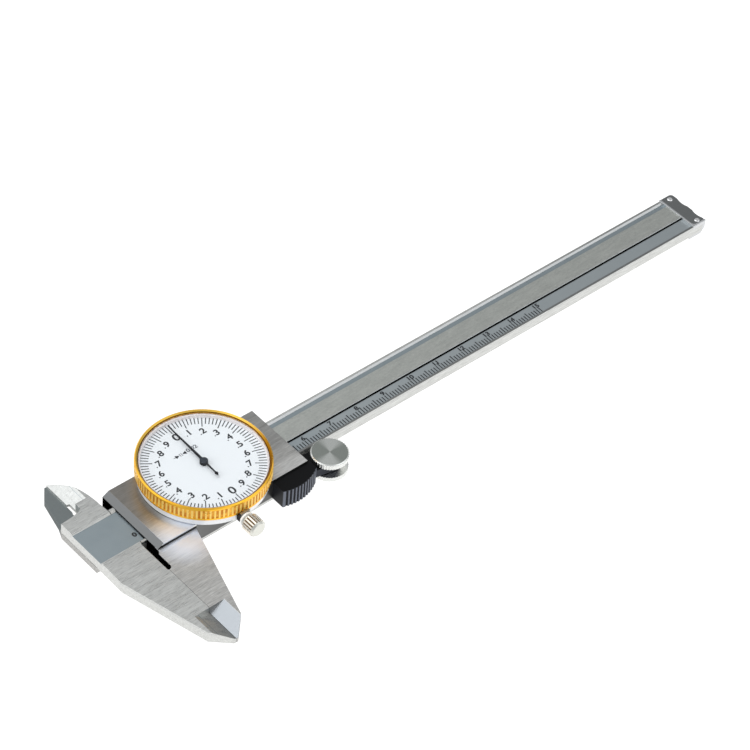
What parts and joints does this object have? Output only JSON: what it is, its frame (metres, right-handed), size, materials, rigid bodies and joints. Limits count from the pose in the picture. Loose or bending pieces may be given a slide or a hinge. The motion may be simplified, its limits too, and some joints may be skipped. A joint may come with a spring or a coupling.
{
  "type": "dial caliper",
  "caption": "Dial caliper with a steel beam and scale, a sliding jaw and inside blades, a round dial in a gold bezel, a thumb roller and a depth rod, jaws closed.",
  "frame": {"origin": "the zero of the beam's scale, on the beam's centreline, at the level of the back cover's outer face, on which the caliper rests", "axes": "+X along the beam away from the jaws, +Y towards the inside blades, +Z out of the dial"},
  "size_m": [0.2333, 0.0767, 0.0149],
  "materials": {
    "ground_steel": "satin",
    "fastener_steel": "satin",
    "bright_plating": "polished",
    "movement_brass": "satin",
    "gold_anodising": "satin",
    "dial_white": "matte",
    "dial_crystal": "polished",
    "pointer_black": "matte",
    "grip_plastic": "gloss"
  },
  "bodies": {
    "beam": {"beam": "ground_steel", "rack": "fastener_steel", "cover_strip": "ground_steel", "end_stop": "ground_steel", "end_stop_rivets": "bright_plating"},
    "slider": {"slider_frame": "ground_steel", "gib": "movement_brass", "gib_screws": "fastener_steel", "depth_rod": "ground_steel", "depth_rod_screws": "fastener_steel", "back_cover": "ground_steel", "back_cover_screws": "fastener_steel", "dial_housing": "bright_plating", "housing_screws": "fastener_steel", "arbor_bushes": "movement_brass", "movement_pillars": "movement_brass", "movement_bridge": "movement_brass", "bridge_screws": "fastener_steel", "bezel_spring_ring": "fastener_steel", "bezel_clamp_clip": "ground_steel", "thumb_grip": "grip_plastic", "grip_screws": "fastener_steel"},
    "bezel": {"bezel": "gold_anodising", "dial_face": "dial_white", "dial_spacer_ring": "dial_white", "crystal": "dial_crystal"},
    "bezel_clamp": {"bezel_clamp_screw": "bright_plating"},
    "slider_lock": {"lock_screw": "bright_plating"},
    "drive_wheel": {"drive_pinion": "fastener_steel", "drive_gear": "movement_brass", "take_up_gear": "movement_brass", "take_up_spring": "fastener_steel"},
    "pointer_wheel": {"pointer_arbor": "fastener_steel", "pointer": "pointer_black"},
    "thumb_roller": {"roller_upper_disc": "bright_plating", "roller_lower_disc": "bright_plating", "roller_screw": "fastener_steel"}
  },
  "joints": [
    {"name": "slider_travel", "type": "slide", "parent": "beam", "child": "slider", "axis": [1, 0, 0], "range_m": [0, 0.15]},
    {"name": "bezel_turn", "type": "hinge", "parent": "slider", "child": "bezel", "pos_m": [0.0266, 0.001, 0.01295], "axis": [0, 0, 1], "continuous": true},
    {"name": "bezel_clamp_turn", "type": "hinge", "parent": "slider", "child": "bezel_clamp", "pos_m": [0.025, -0.02096, 0.0092], "axis": [0, -1, 0], "range_deg": [-180, 360]},
    {"name": "slider_lock_turn", "type": "hinge", "parent": "slider", "child": "slider_lock", "pos_m": [0.0266, 0.01245, 0.00475], "axis": [0, 1, 0], "range_deg": [-36, 360]},
    {"name": "drive_turn", "type": "hinge", "parent": "slider", "child": "drive_wheel", "pos_m": [0.03467, -0.00225, 0.0093], "axis": [0, 0, 1], "range_deg": [-1, 5626]},
    {"name": "pointer_turn", "type": "hinge", "parent": "slider", "child": "pointer_wheel", "pos_m": [0.0266, 0.001, 0.0138], "axis": [0, 0, 1], "range_deg": [-27001, 1]},
    {"name": "roller_turn", "type": "hinge", "parent": "slider", "child": "thumb_roller", "pos_m": [0.061, -0.01322, 0.0041], "axis": [0, 0, 1], "range_deg": [-1, 1536]}
  ],
  "couplings": [
    {"joint": "drive_turn", "follows": "slider_travel", "rad_per_m": 654.5},
    {"joint": "pointer_turn", "follows": "slider_travel", "rad_per_m": -3141.6},
    {"joint": "roller_turn", "follows": "slider_travel", "rad_per_m": 178.57}
  ]
}
